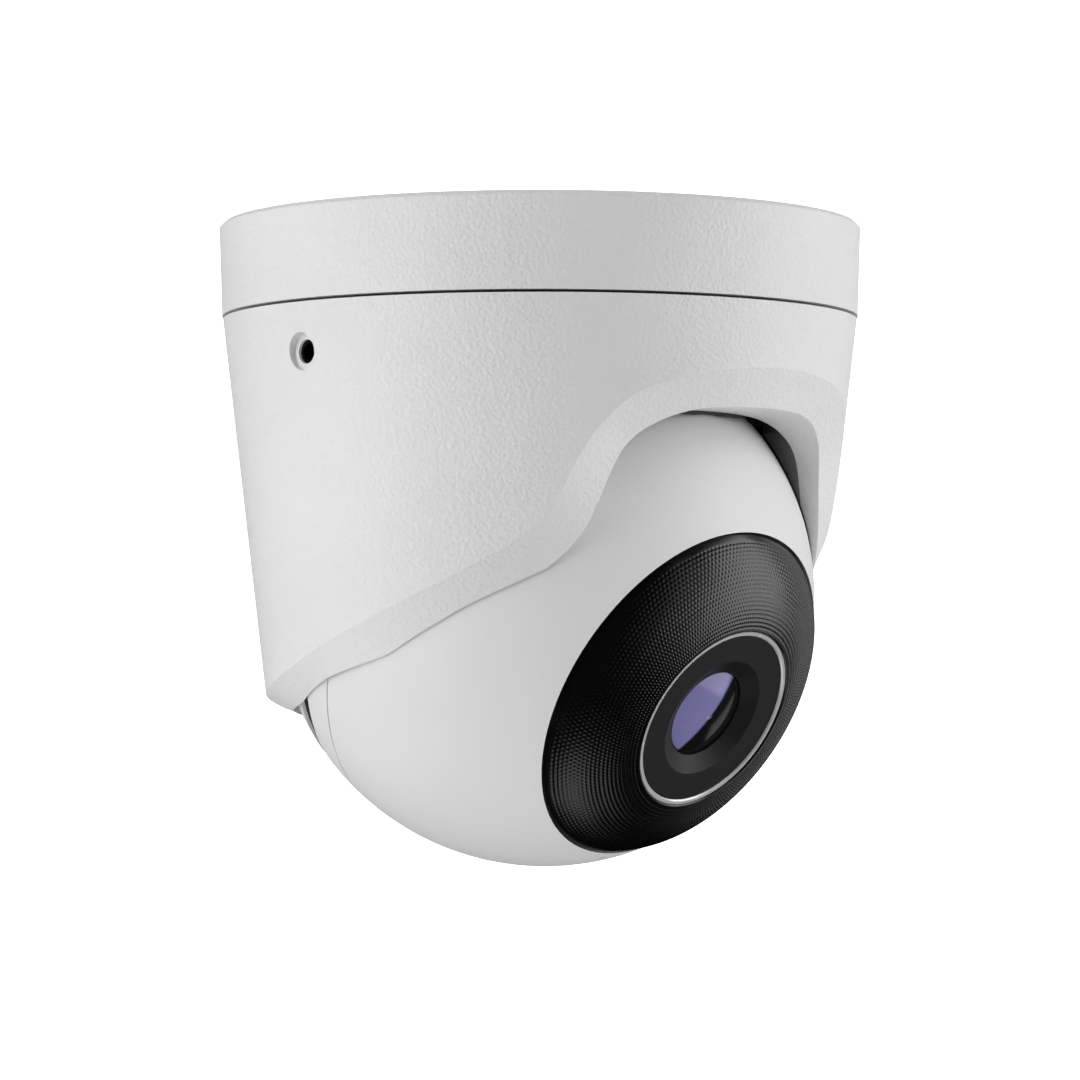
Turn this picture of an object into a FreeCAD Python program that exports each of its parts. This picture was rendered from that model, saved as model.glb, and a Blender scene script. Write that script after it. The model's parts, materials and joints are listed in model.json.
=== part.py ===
import FreeCAD, Part
import math
import os

from FreeCAD import Placement, Rotation, Vector
from Sketcher import Constraint

# Ceiling turret camera, millimetres.  +Z is up, the front is -Y, and the origin is the
# centre of the mounting face, so everything hangs below z = 0.  The parts inside the ball
# are drawn along +Z, measured from the ball's centre, and then turned onto its line of sight.

doc = FreeCAD.newDocument("TurretCamera")
sheet = doc.addObject("Spreadsheet::Sheet", "dims")

DIMENSIONS = [
    # mounting base
    ("base_radius", 55.0, "outer radius at the ceiling"),
    ("base_foot_radius", 54.5, "outer radius at the seam"),
    ("base_depth", 15.7, "ceiling to seam"),
    ("base_wall", 2.8, "wall of the base ring"),
    ("base_floor", 2.5, "floor of the base ring"),
    ("base_opening", 31.0, "radius of the opening in the floor"),
    ("collar_inside", 38.5, "pan collar, inner radius"),
    ("collar_outside", 42.2, "pan collar, outer radius"),
    ("collar_end", 27.2, "depth of the collar's end"),
    ("plate_radius", 49.8, "mounting plate"),
    ("plate_sheet", 2.0, "mounting plate thickness"),
    ("ceiling_hole", 2.3, "ceiling screw hole radius"),
    ("ceiling_circle", 42.5, "ceiling screw circle radius"),
    ("cable_bore", 4.0, "bore of the grommet, radius"),
    ("grommet_hole", 7.0, "hole in the plate for the grommet"),
    ("base_screw_circle", 34.5, "screws between base ring and plate"),
    # pan bearing
    ("pan_ring_outside", 45.5, "pan ring outer radius"),
    ("pan_ring_sheet", 2.0, "pan ring thickness"),
    ("ledge_top", 23.6, "depth of the cover ledge's top"),
    ("ledge_base", 26.4, "depth of the cover ledge's underside"),
    ("ledge_inside", 42.6, "inner radius of the cover ledge"),
    # cover
    ("cover_top", 16.2, "depth of the cover's top edge"),
    ("cover_radius", 54.35, "outer radius at its top edge"),
    ("cover_draft", 0.1157, "radius lost for each millimetre of depth"),
    ("cover_wall", 2.4, "wall thickness"),
    ("rear_rim", 4.4, "how far inwards the thickened rim runs at the rear"),
    ("visor_plane", 37.0, "the visor's rear face is this far in front of the centre"),
    ("visor_lean", 9.0, "how far that face leans back, degrees"),
    ("visor_end", 33.2, "depth at which it stands at that distance"),
    ("visor_top", 30.0, "depth of the visor's top face"),
    ("lock_screw_depth", 24.2, "depth of the lock screw's axis"),
    ("lock_screw_azimuth", 94.5, "its angle from the front, towards -X"),
    # ball
    ("ball_radius", 46.15, "outside of the ball"),
    ("ball_wall", 2.2, "shell thickness"),
    ("ball_ahead", 1.1, "ball centre in front of the pan axis"),
    ("ball_depth", 63.5, "depth of the ball centre"),
    ("look_down", 28.8, "line of sight below the horizon at rest, degrees"),
    ("seat_gap", 0.35, "gap between ball and the faces that guide it"),
    ("shell_seam", 1.6, "seam of the shells behind the ball centre"),
    ("seam_gap", 0.35, "visible width of that seam"),
    ("groove_front", 8.1, "front of the tilt ring's groove"),
    ("groove_back", 11.5, "back of the tilt ring's groove"),
    ("groove_floor", 41.0, "radius of the groove's floor"),
    ("groove_wall", 2.0, "material under the groove"),
    # front cap
    ("cap_radius", 30.2, "outer radius of the bezel"),
    ("cap_edge", 34.3, "distance of its outer edge from the ball centre"),
    ("trim_outside", 16.4, "chrome ring outer radius"),
    ("trim_inside", 15.5, "chrome ring inner radius"),
    ("trim_face", 42.7, "chrome ring front"),
    ("window_face", 42.4, "front of the flat window"),
    ("recess_radius", 10.6, "start of the conical recess"),
    ("recess_depth", 1.5, "depth of the conical recess"),
    ("lens_radius", 7.6, "front lens"),
    ("flange_face", 32.9, "front of the inner flange"),
    ("flange_sheet", 2.0, "thickness of the inner flange"),
    # boards
    ("board_sheet", 1.6, "thickness of every board"),
    ("main_board_face", 7.6, "front of the main board"),
    ("main_board_radius", 33.2, "main board"),
    ("sensor_board_back", 15.0, "back of the sensor board"),
    ("sensor_board_side", 34.0, "sensor board"),
    ("post_offset", 21.5, "main board posts, from the axis along X and Y"),
    ("spacer_offset", 13.8, "sensor board spacers, along X and Y"),
    ("shell_screw_circle", 37.0, "shell screws"),
    ("sink_side", 52.0, "heat sink"),
]

VALUES = {}
for row, (alias, number, meaning) in enumerate(DIMENSIONS, start=1):
    sheet.set(f"A{row}", meaning)
    sheet.set(f"B{row}", str(number))
    sheet.setAlias(f"B{row}", alias)
    VALUES[alias] = number
doc.recompute()


class Size:
    """A length that carries its number and the sheet formula that it comes from."""

    def __init__(self, value, formula):
        self.value = value
        self.formula = formula

    def __add__(self, other):
        other = as_size(other)
        return Size(self.value + other.value, f"({self.formula} + {other.formula})")

    def __sub__(self, other):
        other = as_size(other)
        return Size(self.value - other.value, f"({self.formula} - {other.formula})")

    def __mul__(self, factor):
        return Size(self.value * factor, f"({self.formula} * {factor})")

    def __neg__(self):
        return self * -1


def as_size(number):
    """A plain number becomes a Size; a Size stays as it is."""
    return number if isinstance(number, Size) else Size(number, f"({number})")


def dim(alias):
    """The named cell of the sheet, as a Size."""
    return Size(VALUES[alias], f"dims.{alias}")


BALL_CENTRE = Vector(0, -VALUES["ball_ahead"], -VALUES["ball_depth"])
LINE_OF_SIGHT = Placement(BALL_CENTRE, Rotation(Vector(1, 0, 0), 90 + VALUES["look_down"]))
AT_ORIGIN = Placement()
PARTS = []


def finish(item, name, placement=AT_ORIGIN):
    """Name a sub-part, put it in its place and list it for export."""
    item.Label = name
    item.Placement = placement
    PARTS.append(item)
    return item


# ---------------------------------------------------------------- sketch and body helpers

def origin_plane(body, role):
    return next(f for f in body.Origin.OriginFeatures if f.Role == role)


def new_body(name):
    return doc.addObject("PartDesign::Body", f"{name}_body")


def new_sketch(body, name, role):
    sketch = body.newObject("Sketcher::SketchObject", name)
    sketch.AttachmentSupport = (origin_plane(body, role), [""])
    sketch.MapMode = "FlatFace"
    return sketch


def bind(sketch, constraint, size):
    """Add a dimension and tie it to the sheet."""
    index = sketch.addConstraint(constraint)
    sketch.setExpression(f"Constraints[{index}]", size.formula)


def draw_outline(sketch, corners):
    """Closed outline.  A corner is (across, up); a third entry makes the run that leaves it
    an arc about the sketch's origin with that radius.  A corner at the end of an arc may leave
    one coordinate out, as None, because the arc settles it."""
    points = []
    arriving = corners[-1][2] if len(corners[-1]) > 2 else None
    for corner in corners:
        leaving = corner[2] if len(corner) > 2 else None
        radius = leaving or arriving
        across, up = corner[0], corner[1]
        if across is None:
            across = math.sqrt(radius.value ** 2 - as_size(up).value ** 2)
        if up is None:
            up = math.sqrt(radius.value ** 2 - as_size(across).value ** 2)
        points.append(Vector(as_size(across).value, as_size(up).value, 0))
        arriving = leaving
    count = len(corners)
    arcs_forwards = {}
    for index, corner in enumerate(corners):
        start = points[index]
        end = points[(index + 1) % count]
        if len(corner) < 3:
            sketch.addGeometry(Part.LineSegment(start, end))
            continue
        from_angle = math.atan2(start.y, start.x)
        to_angle = math.atan2(end.y, end.x)
        circle = Part.Circle(Vector(), Vector(0, 0, 1), corner[2].value)
        forwards = to_angle > from_angle
        low, high = sorted((from_angle, to_angle))
        sketch.addGeometry(Part.ArcOfCircle(circle, low, high))
        sketch.addConstraint(Constraint("Coincident", index, 3, -1, 1))
        arcs_forwards[index] = forwards
        bind(sketch, Constraint("Radius", index, corner[2].value), corner[2])

    def end_of(index, at_start):
        forwards = arcs_forwards.get(index, True)
        return 1 if at_start == forwards else 2

    for index in range(count):
        following = (index + 1) % count
        sketch.addConstraint(Constraint(
            "Coincident", index, end_of(index, False), following, end_of(following, True)))
    for index, corner in enumerate(corners):
        vertex = end_of(index, True)
        if corner[0] is not None:
            pin(sketch, "DistanceX", index, vertex, as_size(corner[0]))
        if corner[1] is not None:
            pin(sketch, "DistanceY", index, vertex, as_size(corner[1]))


def pin(sketch, kind, edge, vertex, size):
    """Hold one coordinate of a vertex; zero goes onto the axis itself."""
    if abs(size.value) < 1e-9:
        axis = -2 if kind == "DistanceX" else -1
        sketch.addConstraint(Constraint("PointOnObject", edge, vertex, axis))
    else:
        bind(sketch, Constraint(kind, -1, 1, edge, vertex, size.value), size)


def revolve(body, corners, name="profile"):
    """Turn an outline of (radius, height) corners about the body's Z axis."""
    sketch = new_sketch(body, f"{body.Name}_{name}", "XZ_Plane")
    draw_outline(sketch, corners)
    turned = body.newObject("PartDesign::Revolution", f"{body.Name}_{name}_turned")
    turned.Profile = sketch
    turned.ReferenceAxis = (sketch, ["V_Axis"])
    turned.Angle = 360
    sketch.Visibility = False
    doc.recompute()
    return turned


def circles(body, name, places):
    """A flat sketch of circles; each place is (x, y, radius)."""
    sketch = new_sketch(body, f"{body.Name}_{name}", "XY_Plane")
    for index, (across, up, radius) in enumerate(places):
        across, up, radius = as_size(across), as_size(up), as_size(radius)
        circle = Part.Circle(Vector(across.value, up.value, 0), Vector(0, 0, 1), radius.value)
        sketch.addGeometry(circle)
        pin(sketch, "DistanceX", index, 3, across)
        pin(sketch, "DistanceY", index, 3, up)
        bind(sketch, Constraint("Radius", index, radius.value), radius)
    return sketch


def lift(sketch, height):
    """Raise a flat sketch along Z, bound to the sheet."""
    sketch.setExpression("AttachmentOffset.Base.z", as_size(height).formula)


def pad_up(body, sketch, length):
    """Add material upwards from a flat sketch."""
    pad = body.newObject("PartDesign::Pad", f"{sketch.Name}_pad")
    pad.Profile = sketch
    pad.setExpression("Length", as_size(length).formula)
    doc.recompute()
    return pad


def cut_through(body, sketch):
    """Cut a flat sketch's shape through everything, both ways."""
    before = body.Shape.Volume
    pocket = body.newObject("PartDesign::Pocket", f"{sketch.Name}_cut")
    pocket.Profile = sketch
    pocket.Type = "ThroughAll"
    pocket.Midplane = True
    doc.recompute()
    check_removed(body, before)
    return pocket


def check_removed(body, before):
    if body.Shape.Volume >= before - 1e-6:
        raise RuntimeError(f"{body.Name}: a cut removed nothing")


def around(body, feature, count):
    """Repeat a feature about the body's Z axis."""
    pattern = body.newObject("PartDesign::PolarPattern", f"{feature.Name}_ring")
    pattern.Originals = [feature]
    pattern.Axis = (feature.Profile[0], ["N_Axis"])
    pattern.Angle = 360
    pattern.Occurrences = count
    body.Tip = pattern
    doc.recompute()
    return pattern


# ---------------------------------------------------------------- primitive helpers

def cylinder(name, radius, length, base=(0, 0, 0)):
    item = doc.addObject("Part::Cylinder", name)
    item.setExpression("Radius", as_size(radius).formula)
    item.setExpression("Height", as_size(length).formula)
    place_base(item, base)
    return item


def block(name, sides, centre):
    """A box of three sides; the centre is its middle in X and Y, and its underside in Z."""
    sides = [as_size(side) for side in sides]
    item = doc.addObject("Part::Box", name)
    for prop, side in zip(("Length", "Width", "Height"), sides):
        item.setExpression(prop, side.formula)
    across, along, up = (as_size(value) for value in centre)
    place_base(item, (across - sides[0] * 0.5, along - sides[1] * 0.5, up))
    return item


def place_base(item, base):
    for axis, value in zip("xyz", base):
        item.setExpression(f"Placement.Base.{axis}", as_size(value).formula)


def sphere(name, radius, base=(0, 0, 0)):
    item = doc.addObject("Part::Sphere", name)
    item.setExpression("Radius", as_size(radius).formula)
    place_base(item, base)
    return item


def cut(name, base, tools):
    """Base minus every tool."""
    if len(tools) == 1:
        tool = tools[0]
    else:
        tool = fuse(f"{name}_tools", tools)
    item = doc.addObject("Part::Cut", name)
    item.Base = base
    item.Tool = tool
    return item


def fuse(name, shapes):
    item = doc.addObject("Part::MultiFuse", name)
    item.Shapes = shapes
    return item


def common(name, first, second):
    item = doc.addObject("Part::Common", name)
    item.Base = first
    item.Tool = second
    return item


def code_part(name, shape):
    """A piece whose shape is worked out in code."""
    item = doc.addObject("Part::Feature", name)
    item.Shape = shape
    return item


def screw_shape(head_radius, head_height, shank_radius, length, countersunk, socket):
    """One screw along +Z, its head's top at z = 0 and the shank going down."""
    across = shank_radius if countersunk else head_radius
    outline = [
        Vector(0, 0, 0),
        Vector(head_radius, 0, 0),
        Vector(across, 0, -head_height),
        Vector(shank_radius, 0, -head_height),
        Vector(shank_radius, 0, -length + shank_radius * 0.5),
        Vector(shank_radius * 0.6, 0, -length),
        Vector(0, 0, -length),
    ]
    if countersunk:
        outline.pop(3)
    face = Part.Face(Part.makePolygon(outline + outline[:1]))
    body = face.revolve(Vector(), Vector(0, 0, 1), 360)
    depth = head_height * 0.6
    bars = Part.makeBox(socket * 2, socket * 0.4, depth, Vector(-socket, -socket * 0.2, -depth))
    cross = bars.fuse(bars.rotated(Vector(), Vector(0, 0, 1), 90))
    return body.cut(cross)


def ring_of(shape, count, radius, start_angle=0.0):
    """Copies of a shape on a circle, as one group of separate solids."""
    copies = []
    for index in range(count):
        angle = start_angle + index * 360.0 / count
        copy = shape.translated(Vector(radius, 0, 0))
        copies.append(copy.rotated(Vector(), Vector(0, 0, 1), angle))
    return Part.makeCompound(copies)


def at_corners(shape, offset):
    """Four copies at (+-offset, +-offset)."""
    copies = []
    for across in (-offset, offset):
        for along in (-offset, offset):
            copies.append(shape.translated(Vector(across, along, 0)))
    return Part.makeCompound(copies)


# ---------------------------------------------------------------- mounting base

def make_mounting_plate():
    body = new_body("mounting_plate")
    disc = circles(body, "disc", [(0, 0, dim("plate_radius")), (0, 0, dim("grommet_hole"))])
    lift(disc, -dim("plate_sheet"))
    pad_up(body, disc, dim("plate_sheet"))
    for name, circle, radius, along_y in (
            ("ceiling_hole", dim("ceiling_circle"), dim("ceiling_hole"), 1),
            ("base_hole", dim("base_screw_circle"), Size(1.5, "1.5"), -1)):
        hole = cut_through(body, circles(body, name, [(0, circle * along_y, radius)]))
        around(body, hole, 3)
    finish(body, "mounting_plate")


def make_base_ring():
    body = new_body("base_ring")
    edge = 0.7
    wall = dim("base_wall")
    floor_top = -(dim("base_depth") - dim("base_floor"))
    revolve(body, [
        (dim("base_opening"), floor_top),
        (dim("base_radius") - wall, floor_top),
        (dim("base_radius") - wall, 0),
        (dim("base_radius") - edge, 0),
        (dim("base_radius"), -edge),
        (dim("base_foot_radius"), -dim("base_depth")),
        (dim("collar_outside"), -dim("base_depth")),
        (dim("collar_outside"), -dim("collar_end")),
        (dim("collar_inside"), -dim("collar_end")),
        (dim("collar_inside"), -dim("base_depth")),
        (dim("base_opening"), -dim("base_depth")),
    ])
    boss = circles(body, "boss", [(0, -dim("base_screw_circle"), 3.4)])
    lift(boss, floor_top)
    pad = pad_up(body, boss, -floor_top - dim("plate_sheet"))
    around(body, pad, 3)
    before = body.Shape.Volume
    sink = new_sketch(body, "base_ring_countersink", "YZ_Plane")
    head, shank = 2.9, 1.5
    circle = -dim("base_screw_circle")
    draw_outline(sink, [
        (circle, -dim("base_depth")),
        (circle + head, -dim("base_depth")),
        (circle + shank, -dim("base_depth") + (head - shank)),
        (circle + shank, -dim("plate_sheet")),
        (circle, -dim("plate_sheet")),
    ])
    groove = body.newObject("PartDesign::Groove", "base_ring_countersink_cut")
    groove.Profile = sink
    axis_line = sink.addGeometry(Part.LineSegment(
        Vector(circle.value, 0, 0), Vector(circle.value, -5, 0)), True)
    pin(sink, "DistanceX", axis_line, 1, circle)
    sink.addConstraint(Constraint("PointOnObject", axis_line, 1, -1))
    sink.addConstraint(Constraint("Vertical", axis_line))
    sink.addConstraint(Constraint("DistanceY", axis_line, 2, -1, 1, 5.0))
    groove.ReferenceAxis = (sink, ["Axis0"])
    groove.Angle = 360
    doc.recompute()
    check_removed(body, before)
    pattern = body.newObject("PartDesign::PolarPattern", "base_ring_countersink_ring")
    pattern.Originals = [groove]
    pattern.Axis = (boss, ["N_Axis"])
    pattern.Angle = 360
    pattern.Occurrences = 3
    body.Tip = pattern
    doc.recompute()
    finish(body, "base_ring")


def make_gasket():
    body = new_body("ceiling_gasket")
    outside = dim("base_radius") - dim("base_wall") - 0.05
    revolve(body, [
        (dim("plate_radius") + 0.05, -dim("plate_sheet")),
        (outside, -dim("plate_sheet")),
        (outside, 0),
        (dim("plate_radius") + 0.05, 0),
    ])
    finish(body, "ceiling_gasket")


def make_grommet():
    """Rubber grommet: a bore, a groove that grips the plate and a flange below it."""
    body = new_body("cable_grommet")
    revolve(body, [
        (dim("cable_bore"), 0),
        (dim("grommet_hole"), 0),
        (dim("grommet_hole"), -dim("plate_sheet")),
        (dim("grommet_hole") + 2.0, -dim("plate_sheet")),
        (dim("grommet_hole") + 1.6, -dim("plate_sheet") - 1.6),
        (dim("cable_bore") + 1.6, -dim("plate_sheet") - 6.0),
        (dim("cable_bore"), -dim("plate_sheet") - 6.0),
    ])
    finish(body, "cable_grommet")


def make_base_screws():
    length = VALUES["base_depth"] - 0.8
    screw = screw_shape(2.85, 1.4, 1.45, length, True, 1.8)
    upright = screw.rotated(Vector(), Vector(1, 0, 0), 180)
    upright.translate(Vector(0, 0, -VALUES["base_depth"]))
    group = ring_of(upright, 3, VALUES["base_screw_circle"], -90)
    finish(code_part("base_screws", group), "base_screws")


def make_pan_ring():
    body = new_body("pan_ring")
    top = -dim("collar_end")
    screw_circle = (dim("collar_inside") + dim("collar_outside")) * 0.5
    revolve(body, [
        (dim("collar_inside"), top),
        (dim("pan_ring_outside"), top),
        (dim("pan_ring_outside"), top - dim("pan_ring_sheet")),
        (dim("collar_inside"), top - dim("pan_ring_sheet")),
    ])
    hole = cut_through(body, circles(body, "hole", [(screw_circle, 0, 1.3)]))
    around(body, hole, 4)
    finish(body, "pan_ring")


def make_pan_ring_screws():
    circle = (VALUES["collar_inside"] + VALUES["collar_outside"]) / 2
    under = -(VALUES["collar_end"] + VALUES["pan_ring_sheet"])
    head = 1.2
    screw = screw_shape(1.9, head, 1.22, head + VALUES["pan_ring_sheet"], False, 1.2)
    upright = screw.rotated(Vector(), Vector(1, 0, 0), 180)
    upright.translate(Vector(0, 0, under - head))
    finish(code_part("pan_ring_screws", ring_of(upright, 4, circle)), "pan_ring_screws")


def make_friction_washer():
    body = new_body("friction_washer")
    top = -dim("ledge_base") - 0.15
    revolve(body, [
        (dim("ledge_inside") + 0.2, -dim("collar_end")),
        (dim("pan_ring_outside") - 0.2, -dim("collar_end")),
        (dim("pan_ring_outside") - 0.2, top),
        (dim("ledge_inside") + 0.2, top),
    ])
    finish(body, "friction_washer")


# ---------------------------------------------------------------- cover

# The front opening is an arch that runs down into a sloping rim.  Each line gives the angle
# from the front in degrees and the depth of the opening's edge there, on one side.
OUTER_EDGE = [
    (0, 26.9), (12, 27.5), (23, 29.3), (29, 31.0), (33.5, 33.5), (37.4, 37.1), (40.6, 41.2),
    (43.6, 46.4), (46.2, 50.6), (51, 54.5), (58, 58.0), (70, 63.0), (88, 69.3), (108, 75.5),
    (126, 79.3), (138, 80.7), (148, 81.9), (158, 83.3), (167, 84.6), (180, 85.4),
]
INNER_EDGE = [
    (0, 33.2), (9, 33.35), (15.5, 33.8), (20, 34.6), (24, 35.75), (28, 37.5), (31, 39.6),
    (33.4, 42.6), (35.4, 46.4), (37.7, 50.9), (40.6, 54.9), (44.8, 58.4), (50.5, 62.0),
    (56.2, 64.9), (61, 67.0), (67, 69.5), (77, 72.6), (87, 74.8), (99.7, 77.3), (108, 79.2),
    (118, 81.5), (128, 82.6), (138, 83.2), (152, 84.2), (167, 85.2), (180, 85.8),
]
LIP_WIDTH = [
    (0, 3.4), (33, 3.4), (39.5, 2.4), (58, 2.2), (85, 2.2), (100, 2.7), (114, 4.1), (130, 4.4),
    (180, 4.4),
]


def cover_outside(depth, inset=0.0):
    """Radius of the cover's drafted wall at a depth, less an inset."""
    drop = depth - VALUES["cover_top"]
    return VALUES["cover_radius"] - VALUES["cover_draft"] * drop - inset


def front_point(angle, radius, depth):
    """A point at an angle from the front, positive towards +X."""
    turn = math.radians(angle)
    return Vector(radius * math.sin(turn), -radius * math.cos(turn), -depth)


def closed_edge(points):
    """A smooth closed curve through points, evenly spaced in its parameter so that the
    surface between two such curves joins matching points."""
    curve = Part.BSplineCurve()
    curve.interpolate(Points=points, PeriodicFlag=True,
                      Parameters=list(range(len(points) + 1)))
    return Part.Wire([curve.toShape()])


def smooth_table(table, angle):
    """Depth of an opening edge at any angle, by a cubic through the table's points."""
    steps = [(-a, d) for a, d in reversed(table[1:])] + list(table)
    steps = steps[:-1] + [(180, table[-1][1])]
    angle = (angle + 180) % 360 - 180
    for index in range(len(steps) - 1):
        if steps[index][0] <= angle <= steps[index + 1][0]:
            break
    (x0, y0), (x1, y1) = steps[index], steps[index + 1]

    def slope(at):
        left = steps[max(at - 1, 0)]
        right = steps[min(at + 1, len(steps) - 1)]
        return (right[1] - left[1]) / (right[0] - left[0])

    width = x1 - x0
    u = (angle - x0) / width
    start = (2 * u ** 3 - 3 * u ** 2 + 1) * y0 + (u ** 3 - 2 * u ** 2 + u) * width * slope(index)
    end = (3 * u ** 2 - 2 * u ** 3) * y1 + (u ** 3 - u ** 2) * width * slope(index + 1)
    return start + end


def paired_angles():
    """Matching angles on the outer and the inner edge, so that the lip's rulings stay short.
    On the arch the inner edge stands closer to the front than the outer edge beside it."""
    pairs = []
    samples = 120
    for index in range(samples):
        outer = -180 + 360.0 * index / samples
        size = abs(outer)
        if size <= 46:
            inner = size * (38.2 / 46.0)
        elif size <= 64:
            inner = 38.2 + (size - 46) * (18.8 / 18.0)
        elif size <= 100:
            inner = 57.0 + (size - 64) * (43.0 / 36.0)
        else:
            inner = size
        pairs.append((outer, math.copysign(inner, outer)))
    return pairs


def opening_cutter(raised=0.0):
    """The solid in front of and below the cover's opening: its upper face is the wide lip,
    then the walls that run straight back from the lip's inner edge."""
    beyond = 0.6
    rings = [[], [], [], [], []]
    for outer, inner in paired_angles():
        depth_out = smooth_table(OUTER_EDGE, outer) - raised
        depth_in = smooth_table(INNER_EDGE, inner) - raised
        fold = front_point(outer, cover_outside(depth_out), depth_out)
        width = smooth_table(LIP_WIDTH, inner)
        edge = front_point(inner, cover_outside(depth_in, width), depth_in)
        outside = fold + (fold - edge) * beyond
        straight_back = edge + Vector(0, 26, 0)
        inwards = edge * 0.72
        inwards.z = edge.z
        share = min(max((abs(inner) - 46) / 16.0, 0.0), 1.0)
        share = share * share * (3 - 2 * share)
        back = straight_back * (1 - share) + inwards * share
        rings[0].append(outside)
        rings[1].append(edge)
        rings[2].append(back)
        rings[3].append(front_point(inner, 10, 120))
        rings[4].append(Vector(outside.x, outside.y, -120))
    wires = [closed_edge(points) for points in rings]
    faces = []
    for first, second in zip(wires, wires[1:]):
        faces += Part.makeRuledSurface(first.Edges[0], second.Edges[0]).Faces
    faces += Part.makeRuledSurface(wires[4].Edges[0], wires[0].Edges[0]).Faces
    shell = Part.Shell(Part.makeCompound(faces).Faces)
    shell.sewShape()
    solid = Part.Solid(shell)
    if solid.Volume < 0:
        solid.reverse()
    return solid


COVER_LOWEST = 88.0
BRACKET_SCREWS = (20, 160, 200, 340)
BRACKET_SCREW_CIRCLE = 47.95


def at_bracket_screws(shape):
    """Copies of a shape at the screws between bracket and cover."""
    copies = []
    for angle in BRACKET_SCREWS:
        copy = shape.translated(Vector(BRACKET_SCREW_CIRCLE, 0, 0))
        copies.append(copy.rotated(Vector(), Vector(0, 0, 1), angle))
    return Part.makeCompound(copies)


def beyond_visor(front, gap=0.0):
    """All space in front of, or behind, the plane of the visor's rear face, which leans back
    towards its lower end."""
    near = -90 if front else gap
    space = Part.makeBox(140, 90, 110, Vector(-70, near, -90))
    space.rotate(Vector(), Vector(1, 0, 0), VALUES["visor_lean"])
    space.translate(Vector(0, -VALUES["visor_plane"], -VALUES["visor_end"]))
    return space


def ball_space():
    """The space that the ball turns in."""
    return Part.makeSphere(VALUES["ball_radius"] + VALUES["seat_gap"], BALL_CENTRE)


def cone_between(top_depth, bottom_depth, inset):
    """A solid frustum inside the cover's drafted wall."""
    height = bottom_depth - top_depth
    return Part.makeCone(cover_outside(bottom_depth, inset), cover_outside(top_depth, inset),
                         height, Vector(0, 0, -bottom_depth))


def rear_rim(clearance=0.0):
    """The thickening along the skirt's lowest part, which the wide lip is cut into."""
    thin, thick = VALUES["cover_wall"], VALUES["rear_rim"] + clearance
    start, full = 76.0, 80.5
    ring = cone_between(start, COVER_LOWEST, thin / 2)
    slope = Part.makeCone(cover_outside(full, thick), cover_outside(start, thin), full - start,
                          Vector(0, 0, -full))
    below = cone_between(full, COVER_LOWEST + 1, thick)
    return ring.cut(slope).cut(below)


def make_cover():
    """Drafted skirt, pan ledge, visor block in front of the bracket, bosses and lock screw
    boss; the opening is cut last."""
    lowest = COVER_LOWEST
    top = VALUES["cover_top"]
    skirt = cone_between(top, lowest, 0).cut(cone_between(top - 1, lowest + 1, VALUES["cover_wall"]))
    ledge = cone_between(VALUES["ledge_top"], VALUES["ledge_base"], VALUES["cover_wall"] / 2)
    ledge = ledge.cut(Part.makeCylinder(VALUES["ledge_inside"], 20, Vector(0, 0, -40)))
    visor = cone_between(VALUES["visor_top"], lowest, VALUES["cover_wall"] / 2)
    visor = visor.common(beyond_visor(front=True))
    shape = skirt.fuse([ledge, visor, rear_rim()])
    boss = Part.makeCylinder(2.4, VALUES["visor_top"] + 1.3 - VALUES["ledge_base"] + 0.5,
                             Vector(0, 0, -VALUES["visor_top"] - 1.3))
    shape = shape.fuse(at_bracket_screws(boss).Solids)
    azimuth = -VALUES["lock_screw_azimuth"]
    depth = VALUES["lock_screw_depth"]
    direction = front_point(azimuth, 1, 0)
    boss_start = front_point(azimuth, VALUES["ledge_inside"] + 0.1, depth)
    screw_boss = Part.makeCylinder(2.6 + 0.9, 9.6, boss_start, direction)
    above_washer = Part.makeBox(130, 130, 20, Vector(-65, -65, -VALUES["ledge_base"]))
    shape = shape.fuse(screw_boss.common(above_washer))
    bore = Part.makeCylinder(2.0, 20, front_point(azimuth, 40, depth), direction)
    recess = Part.makeCylinder(3.1, 5, front_point(azimuth, cover_outside(depth) - 1.1, depth),
                               direction)
    thread = Part.makeCylinder(1.0, 6, Vector(0, 0, -VALUES["visor_top"] - 3))
    screw_room = Part.makeCylinder(VALUES["ledge_inside"] + 0.6, 4.5,
                                   Vector(0, 0, -VALUES["visor_top"] - 1.0))
    tools = [bore, recess, screw_room, ball_space(), opening_cutter()]
    tools += at_bracket_screws(thread).Solids
    for tool in tools:
        shape = shape.cut(tool)
    solid = max(shape.Solids, key=lambda piece: piece.Volume)
    finish(code_part("cover", solid), "cover")


def make_lock_screw():
    """Set screw with a hexagon socket, pointing at the pan collar."""
    azimuth = -VALUES["lock_screw_azimuth"]
    depth = VALUES["lock_screw_depth"]
    inner_end = VALUES["collar_outside"] + 0.2
    outer_end = cover_outside(depth) - 1.6
    length = outer_end - inner_end
    tip = 1.0
    body = Part.makeCylinder(1.95, length - tip, Vector(0, 0, tip))
    body = body.fuse(Part.makeCone(1.1, 1.95, tip))
    across_corners = 2.5 / math.sqrt(3)
    corners = [Vector(across_corners * math.cos(math.radians(a)),
                      across_corners * math.sin(math.radians(a)), 0) for a in range(0, 360, 60)]
    socket = Part.Face(Part.makePolygon(corners + corners[:1])).extrude(Vector(0, 0, 3))
    socket.translate(Vector(0, 0, length - 2.4))
    item = code_part("lock_screw", body.cut(socket).removeSplitter())
    outwards = front_point(azimuth, 1, 0)
    turn = Rotation(Vector(0, 0, 1), outwards)
    finish(item, "lock_screw", Placement(front_point(azimuth, inner_end, depth), turn))


# ---------------------------------------------------------------- bracket and seat

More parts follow.
